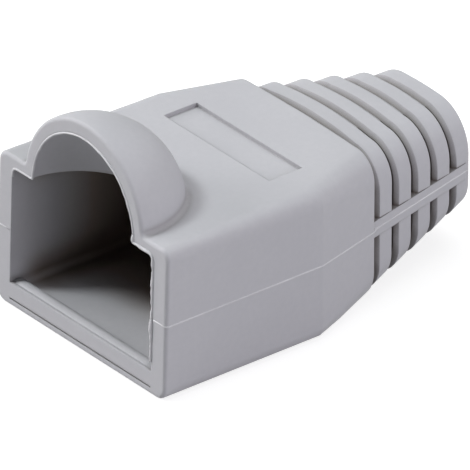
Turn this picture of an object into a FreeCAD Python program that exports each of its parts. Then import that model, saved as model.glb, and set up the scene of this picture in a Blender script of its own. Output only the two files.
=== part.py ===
import FreeCAD, Part
import os
from math import atan2

import Sketcher
from FreeCAD import Vector

# A snagless strain relief boot for an RJ45 plug, moulded in one piece. +Y runs from the mouth,
# where the plug goes in, to the cable end, and +Z is up. The sketches measure Y from the mouth.
# The body is then moved back by half its length, so that its origin is the middle of its underside.

SIZES = {
    # Sleeve: the straight, nearly square part that grips the plug.
    "overall_length": 22.8,
    "sleeve_width": 14.0,
    "sleeve_height": 8.75,
    "sleeve_length": 10.4,
    "mouth_slant": 0.25,
    "mouth_round": 0.2,
    "sleeve_top_corner": 0.6,
    "sleeve_end_top_corner": 1.0,
    "sleeve_bottom_corner": 0.7,
    "parting_height": 4.4,
    # Shoulder: where the sleeve has closed in to the first groove.
    "belly_at": 12.1,
    "belly_bottom_corner": 1.1,
    "shoulder_at": 14.65,
    "shoulder_width": 11.86,
    "shoulder_top": 8.75,
    "shoulder_top_corner": 1.45,
    "shoulder_crown": 0.1,
    "shoulder_bottom_corner": 2.0,
    # Tail: the ribbed part that bends with the cable. It narrows from its root at the shoulder.
    "root_width": 11.55,
    "root_top": 8.51,
    "root_crown": 0.33,
    "root_top_corner": 1.6,
    "tail_width": 7.6,
    "tail_bottom": 1.7,
    "tail_top": 7.8,
    "tail_crown": 0.03,
    "tail_top_corner": 2.5,
    "tail_bottom_corner": 2.0,
    "tail_end_bevel": 0.2,
    "groove_count": 5,
    "groove_width": 0.42,
    "groove_side_depth": 1.0,
    "groove_crown_rise": 0.03,
    "side_spine": 0.95,
    "side_spine_rise": 0.015,
    "rib_brow": 0.23,
    "rib_brow_inset": 0.04,
    "rib_brow_rounding": 0.4,
    "rib_front_inset": 0.3,
    "rib_belly": 0.15,
    # Inside: plug socket, funnel and cable bore.
    "socket_width": 11.7,
    "socket_floor": 1.0,
    "socket_roof": 0.6,
    "socket_corner": 0.35,
    "socket_depth": 10.0,
    "funnel_length": 4.0,
    "funnel_corner": 2.3,
    "bore_diameter": 5.0,
    "bore_height": 4.65,
    # Mouth: the low sill across the floor, and the thin line cut under it.
    "sill_height": 0.36,
    "sill_crest": 0.15,
    "sill_depth": 0.9,
    "sill_step": 0.1,
    "lip_height": 0.43,
    "lip_line_width": 0.08,
    "lip_line_depth": 0.15,
    # Hood over the plug's latch, and the hollow under it.
    "hood_radius": 4.88,
    "hood_height": 13.15,
    "hood_centre": 0.8,
    "hood_foot_round": 0.25,
    "latch_radius": 4.25,
    "latch_height": 12.35,
    # Bare panel sunk in the roof behind the hood.
    "panel_width": 8.7,
    "panel_length": 2.15,
    "panel_at": 9.0,
    "panel_depth": 0.22,
}

document = FreeCAD.newDocument("boot")

sheet = document.addObject("Spreadsheet::Sheet", "sizes")
for row, (alias, number) in enumerate(SIZES.items(), start=1):
    sheet.set(f"A{row}", alias)
    sheet.set(f"B{row}", str(number))
    sheet.setAlias(f"B{row}", alias)
document.recompute()

body = document.addObject("PartDesign::Body", "strain_relief_boot")
body.Label = "strain_relief_boot"


def value(expression):
    """The number that an expression on the sheet gives."""
    return float(body.evalExpression(expression))


def share(front, rear, start, end, place):
    """Expression for a size that runs straight from front at start to rear at end, taken at place."""
    return f"({front}) + (({rear}) - ({front})) * (({place}) - ({start})) / (({end}) - ({start}))"


def new_sketch(name, role, **offsets):
    """A sketch on one of the body's own planes, shifted by expressions such as z='-sizes.belly_at'."""
    sketch = body.newObject("Sketcher::SketchObject", name)
    plane = next(item for item in body.Origin.OriginFeatures if item.Role == role)
    sketch.AttachmentSupport = (plane, [""])
    sketch.MapMode = "FlatFace"
    for axis, expression in offsets.items():
        sketch.setExpression(f"AttachmentOffset.Base.{axis}", expression)
    return sketch


def dimension(sketch, kind, name, expression, *places):
    """Add a driving dimension under a name and tie it to the sheet."""
    index = sketch.addConstraint(Sketcher.Constraint(kind, *places, value(expression)))
    sketch.renameConstraint(index, name)
    sketch.setExpression(f"Constraints.{name}", expression)


def join(sketch, chain):
    """Close a chain of edges end to start."""
    for first, second in zip(chain, chain[1:] + chain[:1]):
        sketch.addConstraint(Sketcher.Constraint("Coincident", first, 2, second, 1))


def line(sketch, start, end):
    return sketch.addGeometry(Part.LineSegment(Vector(*start), Vector(*end)), False)


def arc(sketch, centre, radius, start, end):
    circle = Part.Circle(Vector(*centre), Vector(0, 0, 1), radius)
    return sketch.addGeometry(Part.ArcOfCircle(circle, start, end), False)


def polygon(sketch, corners):
    """A closed polygon from named corners, each driven by a pair of expressions."""
    points = [(value(x), value(y), 0) for x, y in corners.values()]
    edges = [line(sketch, first, second) for first, second in zip(points, points[1:] + points[:1])]
    join(sketch, edges)
    for edge, (name, (x, y)) in zip(edges, corners.items()):
        dimension(sketch, "DistanceX", f"{name}_x", x, -1, 1, edge, 1)
        dimension(sketch, "DistanceY", f"{name}_y", y, -1, 1, edge, 1)


QUARTER = 1.5707963267948966


def rounded_section(name, at, width, low, high, low_corner, high_corner, crown=None):
    """A rectangle with rounded corners across the boot, at a distance from the mouth.

    With a crown, the top edge is an arc that rises by that much at its middle.
    """
    sketch = new_sketch(name, "XZ_Plane", z=f"-({at})")
    half = value(f"({width}) / 2")
    bottom, top = value(low), value(high)
    small, large = value(low_corner), value(high_corner)
    if crown:
        span, rise = half - large, value(crown)
        radius = (span * span + rise * rise) / (2 * rise)
        angle = atan2(radius - rise, span)
        top_edge = arc(sketch, (0, top + rise - radius, 0), radius, angle, 2 * QUARTER - angle)
    else:
        top_edge = line(sketch, (half - large, top, 0), (large - half, top, 0))
    edges = [
        line(sketch, (small - half, bottom, 0), (half - small, bottom, 0)),
        arc(sketch, (half - small, bottom + small, 0), small, -QUARTER, 0),
        line(sketch, (half, bottom + small, 0), (half, top - large, 0)),
        arc(sketch, (half - large, top - large, 0), large, 0, QUARTER),
        top_edge,
        arc(sketch, (large - half, top - large, 0), large, QUARTER, 2 * QUARTER),
        line(sketch, (-half, top - large, 0), (-half, bottom + small, 0)),
        arc(sketch, (small - half, bottom + small, 0), small, 2 * QUARTER, 3 * QUARTER),
    ]
    for first, second in zip(edges, edges[1:] + edges[:1]):
        meeting = "Coincident" if crown and top_edge in (first, second) else "Tangent"
        sketch.addConstraint(Sketcher.Constraint(meeting, first, 2, second, 1))
    if crown:
        sketch.addConstraint(Sketcher.Constraint("Vertical", edges[3], 3, edges[3], 2))
        sketch.addConstraint(Sketcher.Constraint("Vertical", edges[5], 3, edges[5], 1))
        sketch.addConstraint(Sketcher.Constraint("Horizontal", edges[3], 2, edges[5], 1))
        span_of = f"(({width}) / 2 - ({high_corner}))"
        dimension(sketch, "Radius", "crown", f"({span_of}^2 + ({crown})^2) / (2 * ({crown}))", top_edge)
    else:
        sketch.addConstraint(Sketcher.Constraint("Horizontal", top_edge))
    sketch.addConstraint(Sketcher.Constraint("Horizontal", edges[0]))
    for upright in (edges[2], edges[6]):
        sketch.addConstraint(Sketcher.Constraint("Vertical", upright))
    sketch.addConstraint(Sketcher.Constraint("Equal", edges[1], edges[7]))
    sketch.addConstraint(Sketcher.Constraint("Equal", edges[3], edges[5]))
    dimension(sketch, "Radius", "low_corner", low_corner, edges[1])
    dimension(sketch, "Radius", "high_corner", high_corner, edges[3])
    dimension(sketch, "DistanceX", "right", f"({width}) / 2", -1, 1, edges[2], 1)
    dimension(sketch, "DistanceX", "left", f"-({width}) / 2", -1, 1, edges[6], 1)
    dimension(sketch, "DistanceY", "low", low, -1, 1, edges[0], 1)
    dimension(sketch, "DistanceY", "high", high, -1, 1, top_edge, 1)
    return sketch


def feature(kind, name, profile, **properties):
    """A PartDesign feature on a profile; it has to change the body's volume."""
    before = body.Shape.Volume if body.Tip else 0.0
    made = body.newObject(f"PartDesign::{kind}", name)
    made.Profile = profile
    for key, setting in properties.items():
        setattr(made, key, setting)
    document.recompute()
    if abs(body.Shape.Volume - before) < 1e-6:
        raise RuntimeError(f"{name} changes nothing")
    return made


def tail_share(front, rear, place):
    """Expression for a size of the tail at a distance from the mouth."""
    return share(front, rear, "sizes.shoulder_at", "sizes.overall_length", place)


def groove_place(number):
    """Expression for the distance of a groove's front wall from the mouth: the ribs share the tail."""
    return (f"sizes.shoulder_at + {number} * (sizes.overall_length - sizes.tail_end_bevel"
            f" - sizes.shoulder_at) / sizes.groove_count")


def tail_section(name, at, inset, belly="0", rounding="0"):
    """A section of the tail, drawn in all round, swollen below or rounder at its top corners."""
    width = tail_share("sizes.root_width", "sizes.tail_width", at)
    low = tail_share("0", "sizes.tail_bottom", at)
    high = tail_share("sizes.root_top", "sizes.tail_top", at)
    return rounded_section(
        name, at, f"{width} - 2 * {inset}", f"{low} + {inset} - {belly}", f"{high} - {inset}",
        tail_share("sizes.shoulder_bottom_corner", "sizes.tail_bottom_corner", at),
        tail_share("sizes.root_top_corner", "sizes.tail_top_corner", at) + f" + {rounding}",
        tail_share("sizes.root_crown", "sizes.tail_crown", at))


# --- outer form -------------------------------------------------------------------------------
belly_width = share("sizes.sleeve_width", "sizes.shoulder_width",
                    "sizes.sleeve_length", "sizes.shoulder_at", "sizes.belly_at")
belly_top = share("sizes.sleeve_height", "sizes.shoulder_top",
                  "sizes.sleeve_length", "sizes.shoulder_at", "sizes.belly_at")
belly_top_corner = share("sizes.sleeve_end_top_corner", "sizes.shoulder_top_corner",
                         "sizes.sleeve_length", "sizes.shoulder_at", "sizes.belly_at")
mouth = rounded_section("mouth_section", "0", "sizes.sleeve_width", "0", "sizes.sleeve_height",
                        "sizes.sleeve_bottom_corner", "sizes.sleeve_top_corner")
stations = [
    rounded_section("sleeve_end_section", "sizes.sleeve_length", "sizes.sleeve_width", "0",
                    "sizes.sleeve_height", "sizes.sleeve_bottom_corner", "sizes.sleeve_end_top_corner"),
    rounded_section("belly_section", "sizes.belly_at", belly_width, "0", belly_top,
                    "sizes.belly_bottom_corner", belly_top_corner),
    rounded_section("shoulder_section", "sizes.shoulder_at", "sizes.shoulder_width", "0",
                    "sizes.shoulder_top", "sizes.shoulder_bottom_corner", "sizes.shoulder_top_corner",
                    "sizes.shoulder_crown"),
]
# A rib rises steeply from its drawn-in front edge to its brow, then gently to its sharp rear edge.
for number in range(int(SIZES["groove_count"])):
    rib_front = f"{groove_place(number)} + sizes.groove_width"
    stations += [
        tail_section(f"rib_{number + 1}_front", rib_front, "sizes.rib_front_inset"),
        tail_section(f"rib_{number + 1}_brow", f"{rib_front} + sizes.rib_brow", "sizes.rib_brow_inset",
                     "sizes.rib_belly", "sizes.rib_brow_rounding"),
        tail_section(f"rib_{number + 1}_rear", groove_place(number + 1), "0"),
    ]
stations.append(tail_section("tail_end_section", "sizes.overall_length", "sizes.tail_end_bevel"))
feature("AdditiveLoft", "outer_form", mouth, Sections=stations, Ruled=True)


def spine_section(name, at):
    """The cross-section of the bar that fills the dips between the ribs along both sides."""
    sketch = new_sketch(name, "XZ_Plane", z=f"-({at})")
    width = tail_share("sizes.root_width", "sizes.tail_width", at)
    edge = f"({width}) / 2 + sizes.side_spine_rise"
    low = "sizes.parting_height - sizes.side_spine / 2"
    high = "sizes.parting_height + sizes.side_spine / 2"
    polygon(sketch, {
        "left_low": (f"-({edge})", low),
        "right_low": (edge, low),
        "right_high": (edge, high),
        "left_high": (f"-({edge})", high),
    })
    return sketch


spine_front = spine_section("spine_front", "sizes.shoulder_at - sizes.groove_width")
spine_rear = spine_section("spine_rear", "sizes.overall_length - 2 * sizes.tail_end_bevel")
feature("AdditiveLoft", "side_spines", spine_front, Sections=[spine_rear], Ruled=True)

# --- hood over the latch ----------------------------------------------------------------------
# A ball's cap turned about an upright axis just behind the mouth, with a hollow foot on the roof.
hood_middle = "(sizes.hood_height - sizes.hood_radius)"
foot_centre = (f"sqrt((sizes.hood_radius + sizes.hood_foot_round)^2"
               f" - (sizes.sleeve_height + sizes.hood_foot_round - {hood_middle})^2)")


def hood_profile():
    """Half of the hood's section: a large arc, a hollow foot, and a root inside the roof."""
    sketch = new_sketch("hood_section", "YZ_Plane", x="sizes.hood_centre")
    radius, foot = value("sizes.hood_radius"), value("sizes.hood_foot_round")
    middle, roof = value(hood_middle), value("sizes.sleeve_height")
    reach, root = value(foot_centre), value("sizes.sleeve_height - sizes.socket_roof / 2")
    lift = roof + foot - middle
    angle = atan2(lift, reach)
    edges = [
        arc(sketch, (0, middle, 0), radius, angle, QUARTER),
        line(sketch, (0, middle + radius, 0), (0, root, 0)),
        line(sketch, (0, root, 0), (reach, root, 0)),
        line(sketch, (reach, root, 0), (reach, roof, 0)),
        arc(sketch, (reach, roof + foot, 0), foot, 2 * QUARTER + angle, 3 * QUARTER),
    ]
    for first, second in ((0, 1), (1, 2), (2, 3)):
        sketch.addConstraint(Sketcher.Constraint("Coincident", edges[first], 2, edges[second], 1))
    sketch.addConstraint(Sketcher.Constraint("Coincident", edges[3], 2, edges[4], 2))
    sketch.addConstraint(Sketcher.Constraint("Tangent", edges[4], 1, edges[0], 1))
    sketch.addConstraint(Sketcher.Constraint("PointOnObject", edges[0], 3, -2))
    sketch.addConstraint(Sketcher.Constraint("PointOnObject", edges[0], 2, -2))
    sketch.addConstraint(Sketcher.Constraint("Vertical", edges[1]))
    sketch.addConstraint(Sketcher.Constraint("Horizontal", edges[2]))
    sketch.addConstraint(Sketcher.Constraint("Vertical", edges[3]))
    sketch.addConstraint(Sketcher.Constraint("Vertical", edges[4], 3, edges[4], 2))
    dimension(sketch, "Radius", "ball", "sizes.hood_radius", edges[0])
    dimension(sketch, "Radius", "foot", "sizes.hood_foot_round", edges[4])
    dimension(sketch, "DistanceY", "middle", hood_middle, -1, 1, edges[0], 3)
    dimension(sketch, "DistanceY", "roof", "sizes.sleeve_height", -1, 1, edges[3], 2)
    dimension(sketch, "DistanceY", "root", "sizes.sleeve_height - sizes.socket_roof / 2", -1, 1, edges[2], 1)
    return sketch


hood_sketch = hood_profile()
feature("Revolution", "hood", hood_sketch, ReferenceAxis=(hood_sketch, ["V_Axis"]), Angle=360.0)

# --- inside -----------------------------------------------------------------------------------
socket = rounded_section("socket_section", "0", "sizes.socket_width", "sizes.socket_floor",
                         "sizes.sleeve_height - sizes.socket_roof",
                         "sizes.socket_corner", "sizes.socket_corner")
feature("Pocket", "plug_socket", socket, Length=value("sizes.socket_depth"))
document.plug_socket.setExpression("Length", "sizes.socket_depth")

latch_middle = "(sizes.latch_height - sizes.latch_radius)"
latch_root = "sizes.sleeve_height - 1.5 * sizes.socket_roof"


def latch_profile():
    """Half of the hollow that the latch lifts into: a quarter round on a straight skirt."""
    sketch = new_sketch("latch_section", "YZ_Plane")
    radius, middle, root = value("sizes.latch_radius"), value(latch_middle), value(latch_root)
    edges = [
        arc(sketch, (0, middle, 0), radius, 0, QUARTER),
        line(sketch, (0, middle + radius, 0), (0, root, 0)),
        line(sketch, (0, root, 0), (radius, root, 0)),
        line(sketch, (radius, root, 0), (radius, middle, 0)),
    ]
    join(sketch, edges)
    for item, place in ((0, 3), (0, 2), (1, 2)):
        sketch.addConstraint(Sketcher.Constraint("PointOnObject", edges[item], place, -2))
    sketch.addConstraint(Sketcher.Constraint("Horizontal", edges[2]))
    sketch.addConstraint(Sketcher.Constraint("Vertical", edges[3]))
    sketch.addConstraint(Sketcher.Constraint("Horizontal", edges[0], 3, edges[0], 1))
    dimension(sketch, "Radius", "ball", "sizes.latch_radius", edges[0])
    dimension(sketch, "DistanceY", "middle", latch_middle, -1, 1, edges[0], 3)
    dimension(sketch, "DistanceY", "root", latch_root, -1, 1, edges[2], 1)
    return sketch


latch_sketch = latch_profile()
feature("Groove", "latch_hollow", latch_sketch, ReferenceAxis=(latch_sketch, ["V_Axis"]), Angle=360.0)

bore_radius = "sizes.bore_diameter / 2"
funnel_front = rounded_section("funnel_front", "sizes.socket_depth", "sizes.socket_width",
                               "sizes.socket_floor", "sizes.sleeve_height - sizes.socket_roof",
                               "sizes.socket_corner", "sizes.socket_corner")
funnel_rear = rounded_section("funnel_rear", "sizes.socket_depth + sizes.funnel_length",
                              "sizes.bore_diameter", f"sizes.bore_height - {bore_radius}",
                              f"sizes.bore_height + {bore_radius}",
                              "sizes.funnel_corner", "sizes.funnel_corner")
feature("SubtractiveLoft", "funnel", funnel_front, Sections=[funnel_rear], Ruled=True)

bore = new_sketch("bore_section", "XZ_Plane", z="-(sizes.socket_depth + sizes.funnel_length * 0.9)")
circle = bore.addGeometry(Part.Circle(Vector(0, value("sizes.bore_height"), 0), Vector(0, 0, 1),
                                      value(bore_radius)), False)
bore.addConstraint(Sketcher.Constraint("PointOnObject", circle, 3, -2))
dimension(bore, "Radius", "bore", bore_radius, circle)
dimension(bore, "DistanceY", "height", "sizes.bore_height", -1, 1, circle, 3)
feature("Pocket", "cable_bore", bore, Type=1)

# --- mouth ------------------------------------------------------------------------------------
# A low sill runs across the floor, then the front is trimmed on a plane that leans back a little.
sill = new_sketch("sill_section", "YZ_Plane")
sill_top = "sizes.socket_floor + sizes.sill_height"
sill_root = "sizes.socket_floor / 2"
polygon(sill, {
    "front_foot": ("-sizes.sill_depth", sill_root),
    "rear_foot": ("sizes.sill_depth", sill_root),
    "rear_crest": ("sizes.sill_depth", "sizes.socket_floor + sizes.sill_step"),
    "crest_end": ("sizes.sill_crest", sill_top),
    "front_crest": ("-sizes.sill_depth", sill_top),
})
feature("Pad", "sill", sill, SideType="Symmetric")
document.sill.setExpression("Length", "(sizes.socket_width + sizes.sleeve_width) / 2")

above = "sizes.hood_height + sizes.sleeve_height"
below = "-sizes.sleeve_height"
trim = new_sketch("trim_section", "YZ_Plane")
polygon(trim, {
    "low_front": ("-sizes.overall_length", below),
    "low_rear": (f"sizes.mouth_slant * ({below}) / sizes.sleeve_height", below),
    "high_rear": (f"sizes.mouth_slant * ({above}) / sizes.sleeve_height", above),
    "high_front": ("-sizes.overall_length", above),
})
feature("Pocket", "mouth_trim", trim, SideType="Symmetric", Type=1)

# --- bare panel sunk in the roof --------------------------------------------------------------
panel = new_sketch("panel_outline", "XY_Plane", z="sizes.sleeve_height")
polygon(panel, {
    "near_front": ("-sizes.panel_width / 2", "sizes.panel_at"),
    "far_front": ("sizes.panel_width / 2", "sizes.panel_at"),
    "far_rear": ("sizes.panel_width / 2", "sizes.panel_at + sizes.panel_length"),
    "near_rear": ("-sizes.panel_width / 2", "sizes.panel_at + sizes.panel_length"),
})
feature("Pocket", "panel", panel, Length=value("sizes.panel_depth"))
document.panel.setExpression("Length", "sizes.panel_depth")

# --- grooves that let the tail bend -----------------------------------------------------------
# Each groove has an upper and a lower half. Both stop at a spine along the parting line, and their
# floors are arcs that come up to the surface towards the crown and go deep at the sides.


def groove_half(sketch, side, half_width, ledge, crown, reach):
    """One half of a groove: the arc of its floor and a frame that lies outside the boot."""
    half, start, apex, outer = value(half_width), value(ledge), value(crown), value(reach)
    rise = apex - start
    radius = (half * half + rise * rise) / (2 * abs(rise))
    middle = apex - radius if rise > 0 else apex + radius
    wide = value("sizes.sleeve_width")
    angle = atan2(start - middle, half)
    if rise > 0:
        floor = arc(sketch, (0, middle, 0), radius, angle, 2 * QUARTER - angle)
        ends = (1, 2)
    else:
        floor = arc(sketch, (0, middle, 0), radius, -2 * QUARTER - angle, angle)
        ends = (2, 1)
    edges = [
        line(sketch, (half, start, 0), (wide, start, 0)),
        line(sketch, (wide, start, 0), (wide, outer, 0)),
        line(sketch, (wide, outer, 0), (-wide, outer, 0)),
        line(sketch, (-wide, outer, 0), (-wide, start, 0)),
        line(sketch, (-wide, start, 0), (-half, start, 0)),
    ]
    for first, second in zip(edges, edges[1:]):
        sketch.addConstraint(Sketcher.Constraint("Coincident", first, 2, second, 1))
    sketch.addConstraint(Sketcher.Constraint("Coincident", floor, ends[0], edges[0], 1))
    sketch.addConstraint(Sketcher.Constraint("Coincident", floor, ends[1], edges[4], 2))
    sketch.addConstraint(Sketcher.Constraint("PointOnObject", floor, 3, -2))
    for flat in (edges[0], edges[2], edges[4]):
        sketch.addConstraint(Sketcher.Constraint("Horizontal", flat))
    for upright in (edges[1], edges[3]):
        sketch.addConstraint(Sketcher.Constraint("Vertical", upright))
    rise_of = f"abs(({crown}) - ({ledge}))"
    dimension(sketch, "Radius", f"{side}_floor", f"(({half_width})^2 + {rise_of}^2) / (2 * {rise_of})", floor)
    dimension(sketch, "DistanceX", f"{side}_start", half_width, -1, 1, edges[0], 1)
    dimension(sketch, "DistanceY", f"{side}_ledge", ledge, -1, 1, edges[0], 1)
    dimension(sketch, "DistanceX", f"{side}_right", "sizes.sleeve_width", -1, 1, edges[1], 1)
    dimension(sketch, "DistanceX", f"{side}_left", "-sizes.sleeve_width", -1, 1, edges[3], 1)
    dimension(sketch, "DistanceY", f"{side}_reach", reach, -1, 1, edges[2], 1)
    dimension(sketch, "DistanceY", f"{side}_far_ledge", ledge, -1, 1, edges[4], 1)


for number in range(int(SIZES["groove_count"])):
    place = groove_place(number)
    floor_width = tail_share("sizes.root_width", "sizes.tail_width", place)
    half_width = f"({floor_width}) / 2 - sizes.groove_side_depth"
    top = tail_share("sizes.root_top + sizes.root_crown", "sizes.tail_top + sizes.tail_crown", place)
    bottom = tail_share("0", "sizes.tail_bottom", place)
    groove = new_sketch(f"groove_{number + 1}_section", "XZ_Plane", z=f"-({place})")
    groove_half(groove, "upper", half_width, "sizes.parting_height + sizes.side_spine / 2",
                f"({top}) + sizes.groove_crown_rise", "2 * sizes.sleeve_height")
    groove_half(groove, "lower", half_width, "sizes.parting_height - sizes.side_spine / 2",
                f"({bottom}) - sizes.groove_crown_rise", "-sizes.sleeve_height")
    cut = feature("Pocket", f"groove_{number + 1}", groove, Length=value("sizes.groove_width"))
    cut.setExpression("Length", "sizes.groove_width")
document.recompute()

# --- rounded edges ----------------------------------------------------------------------------


def edges_where(test):
    """Names of the body's edges whose ends pass a test."""
    return [f"Edge{index}" for index, edge in enumerate(body.Shape.Edges, start=1)
            if all(test(vertex.Point) for vertex in edge.Vertexes)]


def round_edges(name, radius, test):
    """Round every edge that passes a test."""
    names = edges_where(test)
    if not names:
        raise RuntimeError(f"{name} finds no edge")
    base = body.Tip
    fillet = body.newObject("PartDesign::Fillet", name)
    fillet.Base = (base, names)
    fillet.setExpression("Radius", radius)
    document.recompute()
    return fillet


NEAR = 1e-4
slant = value("sizes.mouth_slant / sizes.sleeve_height")
hollow = value("sizes.latch_radius") + NEAR
hollow_axis = value(latch_middle)
wall = value("sizes.socket_width / 2") + NEAR
floor, roof = value("sizes.socket_floor") - NEAR, value("sizes.sleeve_height - sizes.socket_roof") + NEAR


def on_mouth_rim(point):
    """Whether a point lies on the outer edge of the mouth's face."""
    outside = abs(point.x) > wall or not floor < point.z < roof
    past_hollow = Vector(point.x, point.z - hollow_axis, 0).Length > hollow
    return abs(point.y - slant * point.z) < NEAR and outside and past_hollow


round_edges("mouth_rounding", "sizes.mouth_round", on_mouth_rim)

# --- line cut across the front, under the sill -------------------------------------------------
lip = new_sketch("lip_line_section", "XZ_Plane")
polygon(lip, {
    "left_low": ("-sizes.socket_width / 2", "sizes.lip_height - sizes.lip_line_width / 2"),
    "right_low": ("sizes.socket_width / 2", "sizes.lip_height - sizes.lip_line_width / 2"),
    "right_high": ("sizes.socket_width / 2", "sizes.lip_height + sizes.lip_line_width / 2"),
    "left_high": ("-sizes.socket_width / 2", "sizes.lip_height + sizes.lip_line_width / 2"),
})
feature("Pocket", "lip_line", lip, Length=value("sizes.lip_line_depth"))
document.lip_line.setExpression("Length", "sizes.lip_line_depth")

body.setExpression("Placement.Base.y", "-sizes.overall_length / 2")
document.recompute()

failed = [item.Name for item in document.Objects if {"Invalid", "Error"} & set(item.State)]
if failed:
    raise RuntimeError(f"these objects failed: {failed}")
shape = body.Shape
if shape.isNull() or not shape.isValid() or len(shape.Solids) != 1:
    raise RuntimeError("the boot is not one valid solid")
os.makedirs("parts", exist_ok=True)
shape.exportStep(f"parts/{body.Label}.step")
print(f"{body.Label}: {shape.Volume:.1f} mm3, box {shape.BoundBox}")
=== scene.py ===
"""A moulded strain relief boot for a modular network plug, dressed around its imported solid.

The boot is one piece of soft light grey plastic. The solid stays as it is and gets the plastic.
The finer things on it are pieces of their own: the raised parting line round its middle, the
ragged skin of flash at the mouth and the rounded crest of the sill.
"""

import math
import random

import bmesh
import bpy
from mathutils import Matrix, Vector
from mathutils.bvhtree import BVHTree


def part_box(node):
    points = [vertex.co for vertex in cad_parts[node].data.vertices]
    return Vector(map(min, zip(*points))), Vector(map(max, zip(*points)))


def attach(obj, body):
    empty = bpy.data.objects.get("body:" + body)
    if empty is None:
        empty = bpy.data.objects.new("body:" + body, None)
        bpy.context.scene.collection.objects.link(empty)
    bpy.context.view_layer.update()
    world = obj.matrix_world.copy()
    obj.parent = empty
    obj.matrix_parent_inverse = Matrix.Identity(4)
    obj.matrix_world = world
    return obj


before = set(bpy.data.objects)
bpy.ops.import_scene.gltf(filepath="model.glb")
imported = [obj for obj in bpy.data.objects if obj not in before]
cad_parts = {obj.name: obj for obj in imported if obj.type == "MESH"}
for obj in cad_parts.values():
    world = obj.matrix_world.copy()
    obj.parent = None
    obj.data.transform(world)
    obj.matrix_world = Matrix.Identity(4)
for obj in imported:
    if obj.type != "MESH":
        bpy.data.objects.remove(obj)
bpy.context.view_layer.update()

bl_info = {
    "name": "Strain Relief Boot",
    "version": (1, 0, 0),
    "blender": (4, 5, 0),
    "location": "View3D > Sidebar > Boot",
    "description": "Dresses a moulded network plug boot in soft plastic and lights it",
    "category": "Object",
}

BODY = "root"
BOOT = "strain_relief_boot"
MM = 0.001
WHITE = (1, 1, 1, 1)

# The boot's box, with the mouth at its low end, and the plug socket inside it.
LOW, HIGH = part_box(BOOT)
HALF_WIDTH = (HIGH.x - LOW.x) / 2
WALL = 1.15 * MM
SOCKET_HALF = HALF_WIDTH - WALL
SOCKET_FLOOR = 1.0 * MM
SOCKET_TOP = 8.15 * MM
SOCKET_REAR = LOW.y + 12.0 * MM

# The bore's middle, and a radius that takes in its wall but none of the outer skin.
BORE_HEIGHT = 4.65 * MM
BORE_REACH = 2.8 * MM

# Where the hood ends and where the first groove of the tail begins.
HOOD_REAR = LOW.y + 5.5 * MM
TAIL_FRONT = LOW.y + 14.65 * MM

# Between which places shade is painted inside, first in its corners and then all round.
PAINTED_CORNER_SHADE_SPAN = (LOW.y + 0.5 * MM, LOW.y + 2.4 * MM)
PAINTED_INSIDE_SHADE_SPAN = (LOW.y + 2.5 * MM, LOW.y + 8.5 * MM)

# The middle of the mouth, and the angles about it where the flash starts, thins out and ends.
RIM_MIDDLE = 6.0 * MM
RIM_START = math.radians(-35)
ARCH_FOOT = math.radians(32)
RIM_END = math.radians(165)

# How far outside the skin a ray starts.
OUTSIDE = 2.0 * MM


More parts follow.
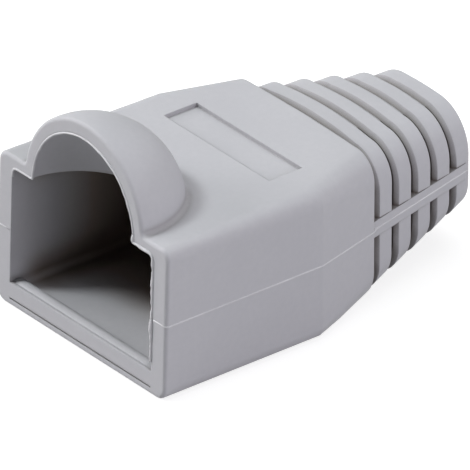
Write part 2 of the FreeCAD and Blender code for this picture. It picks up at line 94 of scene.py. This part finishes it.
class BootPlastic(bpy.types.PropertyGroup):
    """The soft matte plastic of the boot."""

    colour: bpy.props.FloatVectorProperty(
        name="Plastic colour", description="Colour of the moulded plastic",
        subtype="COLOR", size=3, min=0, max=1, default=(0.45, 0.45, 0.474))
    shade: bpy.props.FloatVectorProperty(
        name="Deeper shade", description="Colour of the slightly darker clouds in the plastic",
        subtype="COLOR", size=3, min=0, max=1, default=(0.427, 0.427, 0.453))
    # Painted highlight: the paler thin colour stands in for the light on and through the parting line and
    # the flash.
    thin: bpy.props.FloatVectorProperty(
        name="Thin colour", description="Colour of the paler plastic where it is as thin as a skin",
        subtype="COLOR", size=3, min=0, max=1, default=(0.60, 0.60, 0.62))
    # Painted shade: the two inner colours and the corner settings darken the socket and the bore, with
    # depth and in their corners.
    inner: bpy.props.FloatVectorProperty(
        name="Inner shade", description="Colour deep inside the plug socket",
        subtype="COLOR", size=3, min=0, max=1, default=(0.105, 0.082, 0.068))
    painted_warm_shade: bpy.props.FloatVectorProperty(
        name="Warm inner shade", description="Colour halfway into the plug socket",
        subtype="COLOR", size=3, min=0, max=1, default=(0.25, 0.215, 0.19))
    painted_corner_reach: bpy.props.FloatProperty(
        name="Corner reach", description="How near a corner of the socket darkens its walls",
        subtype="DISTANCE", unit="LENGTH", min=0, default=0.0026)
    painted_corner_shade: bpy.props.FloatProperty(
        name="Corner shade", description="How much the socket's corners darken",
        subtype="FACTOR", min=0, max=1, default=0.95)
    # Painted shade: the crease colour and the four settings after it darken the grooves, faintly the skin
    # in front of the tail, and a thin line at the hood's foot.
    crease: bpy.props.FloatVectorProperty(
        name="Crease shade", description="Colour down in the grooves and sharp inner corners",
        subtype="COLOR", size=3, min=0, max=1, default=(0.11, 0.095, 0.085))
    painted_crease_reach: bpy.props.FloatProperty(
        name="Crease reach", description="How near another face darkens a face",
        subtype="DISTANCE", unit="LENGTH", min=0, default=0.0009)
    painted_crease_share: bpy.props.FloatProperty(
        name="Crease share", description="How much of the crease shade is left in front of the tail",
        subtype="FACTOR", min=0, max=1, default=0.22)
    painted_foot_reach: bpy.props.FloatProperty(
        name="Foot reach", description="How near another face draws a thin line at the hood's foot",
        subtype="DISTANCE", unit="LENGTH", min=0, default=0.0005)
    painted_foot_shade: bpy.props.FloatProperty(
        name="Foot shade", description="How dark the thin line at the hood's foot is",
        subtype="FACTOR", min=0, max=1, default=0.5)
    edge_round: bpy.props.FloatProperty(
        name="Edge rounding", description="Radius that softens the look of the sharp edges",
        subtype="DISTANCE", unit="LENGTH", min=0, default=0.00012)
    roughness: bpy.props.FloatProperty(
        name="Roughness", description="Mean roughness of the moulded skin",
        subtype="FACTOR", min=0, max=1, default=0.62)
    grain_size: bpy.props.FloatProperty(
        name="Grain size", description="Distance between the bumps of the fine spark-eroded grain",
        subtype="DISTANCE", unit="LENGTH", min=0.00001, default=0.00012)
    grain_depth: bpy.props.FloatProperty(
        name="Grain depth", description="Height of the fine grain",
        subtype="DISTANCE", unit="LENGTH", min=0, default=0.000004)
    cloud_size: bpy.props.FloatProperty(
        name="Cloud size", description="Distance between the faint clouds in the plastic",
        subtype="DISTANCE", unit="LENGTH", min=0.0001, default=0.0032)
    mottle_size: bpy.props.FloatProperty(
        name="Mottle size", description="Distance between the low waves of the moulded skin",
        subtype="DISTANCE", unit="LENGTH", min=0.0001, default=0.00035)
    mottle_depth: bpy.props.FloatProperty(
        name="Mottle depth", description="Height of the low waves",
        subtype="DISTANCE", unit="LENGTH", min=0, default=0.000006)
    thin_mottle_size: bpy.props.FloatProperty(
        name="Thin mottle size", description="Distance between the paler spots of the thin plastic",
        subtype="DISTANCE", unit="LENGTH", min=0.0001, default=0.0013)


class PartingLine(bpy.types.PropertyGroup):
    """The raised line where the two halves of the mould met."""

    height: bpy.props.FloatProperty(
        name="Height", description="Height of the line above the underside",
        subtype="DISTANCE", unit="LENGTH", default=0.0044)
    radius: bpy.props.FloatProperty(
        name="Radius", description="Radius of the bead",
        subtype="DISTANCE", unit="LENGTH", min=0.000005, default=0.00006)
    sink: bpy.props.FloatProperty(
        name="Sink", description="How deep the bead's middle lies under the skin",
        subtype="DISTANCE", unit="LENGTH", min=0, default=0.000028)
    unevenness: bpy.props.FloatProperty(
        name="Unevenness", description="Share by which the bead's thickness wanders",
        subtype="FACTOR", min=0, max=0.9, default=0.08)
    seed: bpy.props.IntProperty(
        name="Seed", description="Picks another uneven outline", min=0, default=3)


class MouthFlash(bpy.types.PropertyGroup):
    """The ragged skin that the mould left round the inner rim of the mouth."""

    radius: bpy.props.FloatProperty(
        name="Radius", description="Mean radius of the skin on the inner rim",
        subtype="DISTANCE", unit="LENGTH", min=0.000005, default=0.00008)
    low_radius: bpy.props.FloatProperty(
        name="Lower radius", description="Radius of the broader skin under the parting line",
        subtype="DISTANCE", unit="LENGTH", min=0.000005, default=0.00011)
    arch_radius: bpy.props.FloatProperty(
        name="Arch radius", description="Radius of the finer skin on the arch",
        subtype="DISTANCE", unit="LENGTH", min=0.000005, default=0.000068)
    raggedness: bpy.props.FloatProperty(
        name="Raggedness", description="Share by which the skin's thickness wanders on the near wall",
        subtype="FACTOR", min=0, max=0.9, default=0.6)
    arch_raggedness: bpy.props.FloatProperty(
        name="Arch raggedness", description="Share by which the skin's thickness wanders on the arch",
        subtype="FACTOR", min=0, max=0.9, default=0.2)
    seed: bpy.props.IntProperty(
        name="Seed", description="Picks another ragged outline", min=0, default=7)


class SillRoll(bpy.types.PropertyGroup):
    """The rounded crest of the sill across the floor of the mouth."""

    radius: bpy.props.FloatProperty(
        name="Radius", description="Radius of the crest",
        subtype="DISTANCE", unit="LENGTH", min=0.00005, default=0.0005)
    height: bpy.props.FloatProperty(
        name="Height", description="Height of the crest's top above the underside",
        subtype="DISTANCE", unit="LENGTH", default=0.00143)
    setback: bpy.props.FloatProperty(
        name="Setback", description="How far the crest's front lies behind the mouth",
        subtype="DISTANCE", unit="LENGTH", min=0, default=0.00005)


class BootStudio(bpy.types.PropertyGroup):
    """Floor, lamps and camera."""

    floor_colour: bpy.props.FloatVectorProperty(
        name="Floor colour", description="Colour of the floor under the boot",
        subtype="COLOR", size=3, min=0, max=1, default=(0.42, 0.42, 0.42))
    floor_glow: bpy.props.FloatProperty(
        name="Floor glow", description="What the camera sees the lit floor give off on top of its colour",
        min=0, default=0.75)
    sky_strength: bpy.props.FloatProperty(
        name="Sky strength", description="Strength of the even light from all round",
        min=0, default=0.0)
    key_light: bpy.props.FloatProperty(
        name="Key light", description="Strength of the lamp high in front of the mouth's far corner",
        min=0, default=1.5)
    top_light: bpy.props.FloatProperty(
        name="Top light", description="Strength of the broad light from above",
        min=0, default=1.6)
    side_light: bpy.props.FloatProperty(
        name="Side light", description="Strength of the soft light from the near side",
        min=0, default=1.74)
    front_light: bpy.props.FloatProperty(
        name="Front light", description="Strength of the low light that falls across the mouth",
        min=0, default=2.72)
    tail_light: bpy.props.FloatProperty(
        name="Tail light", description="Strength of the weak light from behind the tail",
        min=0, default=0.34)
    camera_turn: bpy.props.FloatProperty(
        name="Camera turn", description="Angle of the camera round the boot, from the mouth's side",
        subtype="ANGLE", unit="ROTATION", default=math.radians(51.366))
    camera_rise: bpy.props.FloatProperty(
        name="Camera rise", description="Angle of the camera above the floor",
        subtype="ANGLE", unit="ROTATION", default=math.radians(29.756))
    camera_roll: bpy.props.FloatProperty(
        name="Camera roll", description="Turn of the camera about its own axis",
        subtype="ANGLE", unit="ROTATION", default=math.radians(0.1))
    camera_distance: bpy.props.FloatProperty(
        name="Camera distance", description="Distance from the camera to the point it looks at",
        subtype="DISTANCE", unit="LENGTH", min=0.01, default=0.984)
    view_width: bpy.props.FloatProperty(
        name="View width", description="Width of what the camera sees at the boot",
        subtype="DISTANCE", unit="LENGTH", min=0.001, default=0.024204)


def tree_of(material):
    """An empty node tree on a material, with its output."""
    material.use_nodes = True
    tree = material.node_tree
    tree.nodes.clear()
    output = tree.nodes.new("ShaderNodeOutputMaterial")
    return tree, output


def node(tree, kind, inputs=None, **settings):
    """A node with its settings, and its inputs as numbers or as links from other sockets."""
    made = tree.nodes.new(kind)
    for key, setting in settings.items():
        setattr(made, key, setting)
    for key, given in (inputs or {}).items():
        if isinstance(given, bpy.types.NodeSocket):
            tree.links.new(given, made.inputs[key])
        else:
            made.inputs[key].default_value = given
    return made


def fade(tree, value, start, end, low=0.0, high=1.0, smooth=False):
    """A factor that goes from low, where a value is at start, to high, where it is at end."""
    kind = "SMOOTHSTEP" if smooth else "LINEAR"
    return node(tree, "ShaderNodeMapRange",
                {"Value": value, "From Min": start, "From Max": end, "To Min": low, "To Max": high},
                interpolation_type=kind).outputs[0]


def join(tree, operation, first, second):
    """Two factors joined by one of the Math node's operations."""
    return node(tree, "ShaderNodeMath", {0: first, 1: second}, operation=operation).outputs[0]


def blend(tree, factor, first, second):
    """A colour between two others."""
    return node(tree, "ShaderNodeMix", {"Factor": factor, "A": first, "B": second},
                data_type="RGBA").outputs["Result"]


def noise(tree, place, size, detail, roughness):
    """A cloudy factor whose spots lie about a size apart."""
    return node(tree, "ShaderNodeTexNoise",
                {"Vector": place, "Scale": 1 / size, "Detail": detail,
                 "Roughness": roughness}).outputs["Fac"]


def bumps(tree, height, strength, depth, under=None):
    """A normal that follows a height, on top of another normal where one is given."""
    inputs = {"Height": height, "Strength": strength, "Distance": depth}
    if under:
        inputs["Normal"] = under
    return node(tree, "ShaderNodeBump", inputs).outputs["Normal"]


def closeness(tree, reach, clear, shut):
    """A factor that rises as faces within reach hide the sky, from a clear share of it to a shut one."""
    sky = node(tree, "ShaderNodeAmbientOcclusion", {"Distance": reach}, samples=8, only_local=True)
    return fade(tree, sky.outputs["AO"], clear, shut)


def inside_mask(tree, place):
    """A factor that is 1 inside the socket and the bore, and 0 on the outer skin."""
    parts = node(tree, "ShaderNodeSeparateXYZ", {0: place})
    across = node(tree, "ShaderNodeMath", {0: parts.outputs["X"]}, operation="ABSOLUTE").outputs[0]
    along, height = parts.outputs["Y"], parts.outputs["Z"]
    slack = 0.1 * MM
    socket = fade(tree, along, SOCKET_REAR, SOCKET_REAR - slack)
    for value, wall, step in (
        (across, SOCKET_HALF, slack),
        (height, SOCKET_FLOOR, -slack),
        (height, SOCKET_TOP, slack),
    ):
        socket = join(tree, "MULTIPLY", socket, fade(tree, value, wall + 2 * step, wall + step))
    spoke = node(tree, "ShaderNodeCombineXYZ", {"X": across, "Z": height}).outputs[0]
    reach = node(tree, "ShaderNodeVectorMath", {0: spoke, 1: (0, 0, BORE_HEIGHT)},
                 operation="DISTANCE").outputs["Value"]
    return join(tree, "MAXIMUM", socket, fade(tree, reach, BORE_REACH, BORE_REACH - slack))


def painted_inside_shade(tree, place, along, look):
    """How much shade is painted inside: more with depth and in the socket's corners, and 0 on the outer
    skin.
    """
    corner = join(tree, "MULTIPLY", closeness(tree, look.painted_corner_reach, 0.9, 0.5), look.painted_corner_shade)
    corner = join(tree, "MULTIPLY", corner, fade(tree, along, *PAINTED_CORNER_SHADE_SPAN, smooth=True))
    dark = join(tree, "ADD", corner, fade(tree, along, *PAINTED_INSIDE_SHADE_SPAN, smooth=True))
    return join(tree, "MULTIPLY", dark, inside_mask(tree, place))


def painted_crease_shade(tree, along, look):
    """How much shade is painted into the creases: fully in the grooves, a share before them, and at the
    hood's foot.
    """
    before_tail = TAIL_FRONT - 0.3 * MM
    before_end = HOOD_REAR - 0.5 * MM
    share = fade(tree, along, before_tail, TAIL_FRONT, low=look.painted_crease_share)
    crease = join(tree, "MULTIPLY", closeness(tree, look.painted_crease_reach, 0.96, 0.45), share)
    foot = join(tree, "MULTIPLY", closeness(tree, look.painted_foot_reach, 0.96, 0.8), look.painted_foot_shade)
    foot = join(tree, "MULTIPLY", foot, fade(tree, along, HOOD_REAR, before_end))
    return join(tree, "MAXIMUM", crease, foot)


def coat(tree, output, colour, roughness, normal):
    """Finish a material as a dull plastic."""
    skin = node(tree, "ShaderNodeBsdfPrincipled",
                {"Base Color": colour, "Roughness": roughness, "Normal": normal,
                 "IOR": 1.5, "Specular IOR Level": 0.35})
    tree.links.new(skin.outputs[0], output.inputs["Surface"])


def soft_plastic(name, look):
    """Moulded PVC: a dull skin with a fine grain, faint clouds, and painted shade in its creases and
    inside.
    """
    material = bpy.data.materials.new(name)
    tree, output = tree_of(material)
    place = node(tree, "ShaderNodeTexCoord").outputs["Object"]
    along = node(tree, "ShaderNodeSeparateXYZ", {0: place}).outputs["Y"]
    clouds = noise(tree, place, look.cloud_size, 3.0, 0.55)
    mottle = noise(tree, place, look.mottle_size, 4.0, 0.6)
    grain = noise(tree, place, look.grain_size, 2.0, 0.5)
    spread = fade(tree, join(tree, "MULTIPLY", clouds, mottle), 0.12, 0.40)
    colour = blend(tree, spread, (*look.shade, 1), (*look.colour, 1))
    # Painted shade in the creases and at the hood's foot.
    colour = blend(tree, painted_crease_shade(tree, along, look), colour, (*look.crease, 1))
    # Painted shade inside the socket and the bore: warm halfway in and near black deep in and in the
    # corners.
    dark = painted_inside_shade(tree, place, along, look)
    colour = blend(tree, fade(tree, dark, 0.0, 0.5), colour, (*look.painted_warm_shade, 1))
    colour = blend(tree, fade(tree, dark, 0.5, 1.0), colour, (*look.inner, 1))
    gloss = fade(tree, clouds, 0.3, 0.7, low=look.roughness - 0.05, high=look.roughness + 0.06)
    edges = node(tree, "ShaderNodeBevel", {"Radius": look.edge_round}, samples=6).outputs["Normal"]
    waves = bumps(tree, mottle, 0.35, look.mottle_depth, under=edges)
    coat(tree, output, colour, gloss, bumps(tree, grain, 0.5, look.grain_depth, under=waves))
    return material


def pale_highlight_plastic(name, look):
    """The same plastic as thin as a skin, painted paler as a painted highlight: it stands in for the
    light that soaks through the thin skin and catches its edges.
    """
    material = bpy.data.materials.new(name)
    tree, output = tree_of(material)
    place = node(tree, "ShaderNodeTexCoord").outputs["Object"]
    mottle = noise(tree, place, look.thin_mottle_size, 3.0, 0.6)
    colour = blend(tree, fade(tree, mottle, 0.1, 0.6), (*look.colour, 1), (*look.thin, 1))
    coat(tree, output, colour, look.roughness, bumps(tree, mottle, 0.5, look.grain_depth))
    return material


def plastic():
    """The boot's plastic, made once."""
    made = bpy.data.materials.get("soft_grey_plastic")
    return made or soft_plastic("soft_grey_plastic", bpy.context.scene.boot_plastic)


def pale_highlight_skin():
    """The paler plastic of the parting line and the flash, with its painted highlight, made once."""
    made = bpy.data.materials.get("pale_thin_plastic_painted_highlight")
    return made or pale_highlight_plastic("pale_thin_plastic_painted_highlight", bpy.context.scene.boot_plastic)


def finish_piece(name, mesh_maker, material):
    """Make a piece of the boot from a function that fills a bmesh, and let it ride on the body."""
    shape = bmesh.new()
    mesh_maker(shape)
    bmesh.ops.recalc_face_normals(shape, faces=shape.faces)
    mesh = bpy.data.meshes.new(name)
    shape.to_mesh(mesh)
    shape.free()
    mesh.shade_smooth()
    piece = bpy.data.objects.new(name, mesh)
    bpy.context.scene.collection.objects.link(piece)
    mesh.materials.append(material)
    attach(piece, BODY)


def bead(shape, path, radii, sides=6):
    """A closed bead along a path: one ring at its start, extruded from point to point.

    Each ring stands square to the line between its two neighbours.
    """
    first = (path[1] - path[0]).normalized()
    made = bmesh.ops.create_circle(shape, segments=sides, radius=radii[0], cap_ends=True)
    ring = made["verts"]
    turn = first.to_track_quat("Z", "Y").to_matrix()
    bmesh.ops.rotate(shape, verts=ring, cent=(0, 0, 0), matrix=turn)
    bmesh.ops.translate(shape, verts=ring, vec=path[0])
    edges = [edge for edge in shape.edges if all(vert in ring for vert in edge.verts)]
    heading = first
    for index in range(1, len(path)):
        out = bmesh.ops.extrude_edge_only(shape, edges=edges)["geom"]
        ring = [item for item in out if isinstance(item, bmesh.types.BMVert)]
        edges = [item for item in out if isinstance(item, bmesh.types.BMEdge)]
        edges = [edge for edge in edges if all(vert in ring for vert in edge.verts)]
        bmesh.ops.translate(shape, verts=ring, vec=path[index] - path[index - 1])
        coming = path[min(index + 1, len(path) - 1)] - path[index - 1]
        swing = heading.rotation_difference(coming.normalized()).to_matrix()
        bmesh.ops.rotate(shape, verts=ring, cent=path[index], matrix=swing)
        heading = coming.normalized()
        grown = radii[index] / radii[index - 1]
        bmesh.ops.scale(shape, verts=ring, vec=(grown,) * 3, space=Matrix.Translation(-path[index]))
    bmesh.ops.contextual_create(shape, geom=edges)


def skin_of_boot():
    """The boot's solid as a tree that rays can be cast at."""
    shape = bmesh.new()
    shape.from_mesh(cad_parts[BOOT].data)
    shape.transform(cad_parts[BOOT].matrix_world)
    skin = BVHTree.FromBMesh(shape)
    shape.free()
    return skin


def touch(skin, start, towards):
    """The first point of the boot that a ray meets."""
    point = skin.ray_cast(Vector(start), Vector(towards).normalized())[0]
    if point is None:
        raise RuntimeError("a ray misses the boot")
    return point


def wander(dice, count, spread):
    """Factors about 1 that drift smoothly up and down along a path."""
    loose = [1 + spread * (2 * dice.random() - 1) for _ in range(count + 2)]
    return [sum(loose[index:index + 3]) / 3 for index in range(count)]


def parting_path(skin, side, height):
    """Points on the skin at one height: over a wall's face at the mouth, then along a side."""
    step = 0.3 * MM
    corner_steps = 8
    inner_edge = side * (SOCKET_HALF + 0.12 * MM)
    corner = Vector((side * (HALF_WIDTH - WALL / 2), LOW.y + WALL / 2, height))
    path = [touch(skin, (inner_edge, LOW.y - OUTSIDE, height), (0, 1, 0))]
    for index in range(corner_steps + 1):
        angle = math.radians(90 * index / corner_steps)
        out = Vector((side * math.sin(angle), -math.cos(angle), 0))
        path.append(touch(skin, corner + out * (WALL / 2 + OUTSIDE), -out))
    along = corner.y + step
    while along < HIGH.y - step:
        path.append(touch(skin, (side * (HALF_WIDTH + OUTSIDE), along, height), (-side, 0, 0)))
        along += step
    return path


def sink_of(point, side, depth):
    """The step from a point on the parting line into the plastic."""
    on_face = point.y < LOW.y + WALL / 4
    return Vector((0, -depth, 0)) if on_face else Vector((side * depth, 0, 0))


def rim_path(skin, start, end, count):
    """Points along the inner rim of the mouth between two angles about the opening's middle."""
    behind_face = 0.6 * MM
    into_wall = 0.3 * MM
    middle = Vector((0, LOW.y + behind_face, RIM_MIDDLE))
    path = []
    for index in range(count):
        angle = start + (end - start) * index / (count - 1)
        out = Vector((math.cos(angle), 0, math.sin(angle)))
        wall = touch(skin, middle, out)
        before_face = Vector((wall.x, LOW.y - OUTSIDE, wall.z)) + out * into_wall
        face = touch(skin, before_face, (0, 1, 0))
        path.append(Vector((wall.x, face.y, wall.z)))
    return path


def lean_in(point, radius):
    """A point of the rim moved in over the opening, further where the skin is thicker."""
    rooted = 0.04 * MM
    inward = Vector((-point.x, 0, RIM_MIDDLE - point.z)).normalized()
    return point + inward * (radius - rooted)


class BOOT_OT_dress_body(bpy.types.Operator):
    """Give the moulded body its soft plastic"""

    bl_idname = "boot.dress_body"
    bl_label = "Dress the Body"

    def execute(self, context):
        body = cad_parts[BOOT]
        for slot in body.material_slots:
            slot.material = plastic()
        return {"FINISHED"}


class BOOT_OT_draw_parting_line(bpy.types.Operator):
    """Run the raised parting line along both sides of the boot"""

    bl_idname = "boot.draw_parting_line"
    bl_label = "Draw the Parting Line"

    def execute(self, context):
        line = context.scene.boot_parting_line
        skin = skin_of_boot()
        dice = random.Random(line.seed)

        def both_sides(shape):
            for side in (1, -1):
                path = parting_path(skin, side, line.height)
                radii = [line.radius * factor for factor in wander(dice, len(path), line.unevenness)]
                bead(shape, [point - sink_of(point, side, line.sink) for point in path], radii)

        finish_piece("parting_line", both_sides, pale_highlight_skin())
        return {"FINISHED"}


class BOOT_OT_grow_flash(bpy.types.Operator):
    """Grow the ragged skin of flash round the inner rim of the mouth"""

    bl_idname = "boot.grow_flash"
    bl_label = "Grow the Flash"

    def execute(self, context):
        flash = context.scene.boot_flash
        line = context.scene.boot_parting_line
        skin = skin_of_boot()
        dice = random.Random(flash.seed)

        def rims(shape):
            at_line = math.atan2(line.height - RIM_MIDDLE, SOCKET_HALF)
            # Each stretch's two angles, its points, the radius of the skin and its raggedness.
            stretches = (
                (RIM_START, at_line, 24, flash.low_radius, flash.raggedness),
                (at_line, ARCH_FOOT, 50, flash.radius, flash.raggedness),
                (ARCH_FOOT, RIM_END, 110, flash.arch_radius, flash.arch_raggedness),
            )
            for start, end, count, radius, raggedness in stretches:
                path = rim_path(skin, start, end, count)
                radii = [radius * factor for factor in wander(dice, count, raggedness)]
                bead(shape, [lean_in(*pair) for pair in zip(path, radii)], radii)

        finish_piece("mouth_flash", rims, pale_highlight_skin())
        return {"FINISHED"}


class BOOT_OT_round_sill(bpy.types.Operator):
    """Lay the rounded crest on the sill of the mouth"""

    bl_idname = "boot.round_sill"
    bl_label = "Round the Sill"

    def execute(self, context):
        roll = context.scene.boot_sill

        def crest(shape):
            into_wall = 0.05 * MM
            steps = 12
            reach = SOCKET_HALF + into_wall
            place = (LOW.y + roll.setback + roll.radius, roll.height - roll.radius)
            path = [Vector((-reach + 2 * reach * index / steps, *place)) for index in range(steps + 1)]
            bead(shape, path, [roll.radius] * len(path), sides=20)

        finish_piece("sill_crest", crest, plastic())
        return {"FINISHED"}


def lay_floor(studio):
    """A wide pale floor that looks white where the camera sees it lit, and keeps a soft shadow."""
    half_size = 1.2
    gap = 0.01 * MM
    shape = bmesh.new()
    bmesh.ops.create_grid(shape, x_segments=1, y_segments=1, size=half_size)
    bmesh.ops.translate(shape, verts=shape.verts, vec=(0, 0, -gap))
    mesh = bpy.data.meshes.new("floor")
    shape.to_mesh(mesh)
    shape.free()
    floor = bpy.data.objects.new("floor", mesh)
    bpy.context.scene.collection.objects.link(floor)
    material = bpy.data.materials.new("pale_floor")
    tree, output = tree_of(material)
    paint = node(tree, "ShaderNodeBsdfDiffuse", {"Color": (*studio.floor_colour, 1)})
    glow = node(tree, "ShaderNodeEmission", {"Color": WHITE, "Strength": studio.floor_glow})
    both = node(tree, "ShaderNodeAddShader", {0: paint.outputs[0], 1: glow.outputs[0]})
    rays = node(tree, "ShaderNodeLightPath")
    seen = join(tree, "MAXIMUM", rays.outputs["Is Camera Ray"], rays.outputs["Is Glossy Ray"])
    pick = node(tree, "ShaderNodeMixShader", {"Fac": seen, 1: paint.outputs[0], 2: both.outputs[0]})
    tree.links.new(pick.outputs[0], output.inputs["Surface"])
    mesh.materials.append(material)


def light_studio(scene, studio):
    """A white backdrop and five soft lamps: key, top, near side, low front and tail."""
    world = bpy.data.worlds.new("studio_sky")
    world.use_nodes = True
    tree = world.node_tree
    tree.nodes.clear()
    output = tree.nodes.new("ShaderNodeOutputWorld")
    rays = node(tree, "ShaderNodeLightPath")
    seen = join(tree, "MAXIMUM", rays.outputs["Is Camera Ray"], rays.outputs["Is Transmission Ray"])
    strength = fade(tree, seen, 0.0, 1.0, low=studio.sky_strength)
    sky = node(tree, "ShaderNodeBackground", {"Color": WHITE, "Strength": strength})
    tree.links.new(sky.outputs[0], output.inputs["Surface"])
    scene.world = world
    away = 0.3
    # Each lamp's name, the way to it, its strength, its spread in degrees and its colour.
    lamps = (
        ("key_lamp", (-0.44, -0.44, 0.785), studio.key_light, 12, (0.95, 1.0, 0.99)),
        ("top_lamp", (-0.2, 0.1, 1.0), studio.top_light, 70, (0.98, 1.0, 0.99)),
        ("side_lamp", (1.0, 0.15, 0.45), studio.side_light, 50, (0.96, 0.93, 1.0)),
        ("front_lamp", (-0.9, -0.55, 0.2), studio.front_light, 40, (1.0, 0.95, 0.965)),
        ("tail_lamp", (0.5, 1.0, 0.5), studio.tail_light, 60, (1.0, 1.0, 0.9)),
    )
    for name, towards, energy, spread, colour in lamps:
        lamp = bpy.data.lights.new(name, "SUN")
        lamp.energy = energy
        lamp.color = colour
        lamp.angle = math.radians(spread)
        hung = bpy.data.objects.new(name, lamp)
        hung.rotation_euler = Vector(towards).to_track_quat("Z", "Y").to_euler()
        hung.location = Vector(towards).normalized() * away
        scene.collection.objects.link(hung)


def place_camera(scene, studio):
    """A distant camera with a long lens, aimed a little past the boot's middle."""
    turn, rise = studio.camera_turn, studio.camera_rise
    back = Vector((math.sin(turn) * math.cos(rise), -math.cos(turn) * math.cos(rise), math.sin(rise)))
    right = Vector((math.cos(turn), math.sin(turn), 0))
    above = back.cross(right)
    shift_right = 1.7298 * MM
    shift_down = 0.26 * MM
    aim = Vector((0, -3.4, 4.25)) * MM + right * shift_right - above * shift_down
    roll = Matrix.Rotation(studio.camera_roll, 3, "Z")
    facing = Matrix((right, above, back)).transposed() @ roll
    optics = bpy.data.cameras.new("camera")
    optics.sensor_width = 36
    optics.lens = optics.sensor_width * studio.camera_distance / studio.view_width
    optics.clip_start = 0.01
    optics.clip_end = 10
    camera = bpy.data.objects.new("camera", optics)
    camera.matrix_world = Matrix.Translation(aim + back * studio.camera_distance) @ facing.to_4x4()
    scene.collection.objects.link(camera)
    scene.camera = camera


class BOOT_OT_build_stage(bpy.types.Operator):
    """Lay the floor, hang the lamps and place the camera"""

    bl_idname = "boot.build_stage"
    bl_label = "Build the Stage"

    def execute(self, context):
        studio = context.scene.boot_studio
        scene = context.scene
        scene.view_settings.view_transform = "Standard"
        lay_floor(studio)
        light_studio(scene, studio)
        place_camera(scene, studio)
        return {"FINISHED"}


class BOOT_PT_panel(bpy.types.Panel):
    """Lists the boot's pieces and the stage in the 3D view's sidebar"""

    bl_label = "Boot"
    bl_idname = "BOOT_PT_panel"
    bl_space_type = "VIEW_3D"
    bl_region_type = "UI"
    bl_category = "Boot"

    def draw(self, context):
        for group in GROUPS:
            settings = getattr(context.scene, group)
            column = self.layout.box().column()
            for key in settings.__annotations__:
                column.prop(settings, key)
        for operator in STEPS:
            self.layout.operator(operator.bl_idname)


GROUPS = {
    "boot_plastic": BootPlastic,
    "boot_parting_line": PartingLine,
    "boot_flash": MouthFlash,
    "boot_sill": SillRoll,
    "boot_studio": BootStudio,
}
STEPS = (BOOT_OT_dress_body, BOOT_OT_draw_parting_line, BOOT_OT_grow_flash, BOOT_OT_round_sill,
         BOOT_OT_build_stage)
CLASSES = (*GROUPS.values(), *STEPS, BOOT_PT_panel)


def register():
    for kind in CLASSES:
        bpy.utils.register_class(kind)
    for name, kind in GROUPS.items():
        setattr(bpy.types.Scene, name, bpy.props.PointerProperty(type=kind))


def unregister():
    for name in GROUPS:
        delattr(bpy.types.Scene, name)
    for kind in reversed(CLASSES):
        bpy.utils.unregister_class(kind)


def main():
    """Build everything in order."""
    register()
    bpy.ops.boot.dress_body()
    bpy.ops.boot.draw_parting_line()
    bpy.ops.boot.grow_flash()
    bpy.ops.boot.round_sill()
    bpy.ops.boot.build_stage()


if __name__ == "__main__":
    main()
